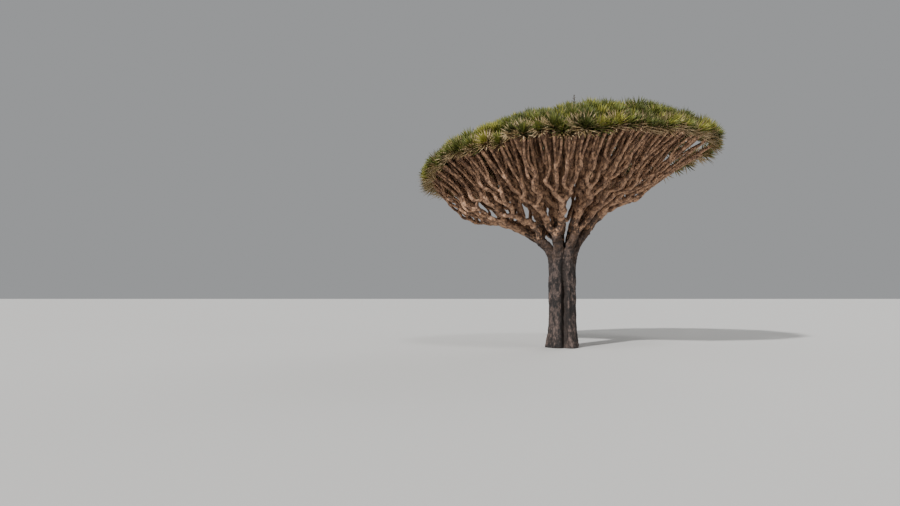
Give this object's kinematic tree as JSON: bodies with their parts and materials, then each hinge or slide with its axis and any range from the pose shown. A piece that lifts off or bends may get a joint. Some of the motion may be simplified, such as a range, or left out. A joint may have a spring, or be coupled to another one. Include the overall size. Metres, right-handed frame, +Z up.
{
  "type": "dragon blood tree",
  "caption": "Umbrella-shaped tree: a bare fluted trunk, limbs that fork again and again, and a shallow dome of stiff, sword-shaped leaves that leans a little.",
  "frame": {"origin": "centre of the flat cut under the trunk, at ground level", "axes": "+Z up the trunk, -Y towards the picture's viewer, +X to the viewer's right, where the crown is higher"},
  "size_m": [7.8427, 7.733, 6.28],
  "materials": {
    "trunk_bark": "grey-brown bark, rough and matt",
    "limb_bark": "orange-brown bark, rough and matt",
    "leaves": "stiff waxy leaves, mid green with yellow-green tops and olive-brown undersides"
  },
  "bodies": {
    "root": {"trunk": "trunk_bark", "bough_1": "limb_bark", "bough_1_arm_1": "limb_bark", "bough_1_arm_2": "limb_bark", "bough_1_arm_3": "limb_bark", "bough_2": "limb_bark", "bough_2_arm_1": "limb_bark", "bough_2_arm_2": "limb_bark", "bough_2_arm_3": "limb_bark", "bough_3": "limb_bark", "bough_3_arm_1": "limb_bark", "bough_3_arm_2": "limb_bark", "bough_3_arm_3": "limb_bark", "bough_4": "limb_bark", "bough_4_arm_1": "limb_bark", "bough_4_arm_2": "limb_bark", "bough_4_arm_3": "limb_bark", "bough_5": "limb_bark", "bough_5_arm_1": "limb_bark", "bough_5_arm_2": "limb_bark", "bough_5_arm_3": "limb_bark", "bough_6": "limb_bark", "bough_6_arm_1": "limb_bark", "bough_6_arm_2": "limb_bark", "bough_6_arm_3": "limb_bark", "bough_7": "limb_bark", "bough_7_arm_1": "limb_bark", "bough_7_arm_2": "limb_bark", "bough_7_arm_3": "limb_bark", "cap_bough_1": "limb_bark", "cap_bough_2": "limb_bark", "cap_bough_3": "limb_bark", "leaf_mass_01": "leaves", "leaf_mass_02": "leaves", "leaf_mass_03": "leaves", "leaf_mass_04": "leaves", "leaf_mass_05": "leaves", "leaf_mass_06": "leaves", "leaf_mass_07": "leaves", "leaf_mass_08": "leaves", "leaf_mass_09": "leaves", "leaf_mass_10": "leaves", "leaf_mass_11": "leaves", "leaf_mass_12": "leaves", "leaf_mass_13": "leaves", "leaf_mass_14": "leaves", "leaf_mass_15": "leaves", "leaf_mass_16": "leaves", "leaf_mass_17": "leaves", "leaf_mass_18": "leaves", "leaf_mass_19": "leaves", "leaf_mass_20": "leaves", "leaf_mass_21": "leaves", "leaf_mass_22": "leaves", "leaf_mass_23": "leaves", "leaf_mass_24": "leaves"}
  },
  "joints": []
}
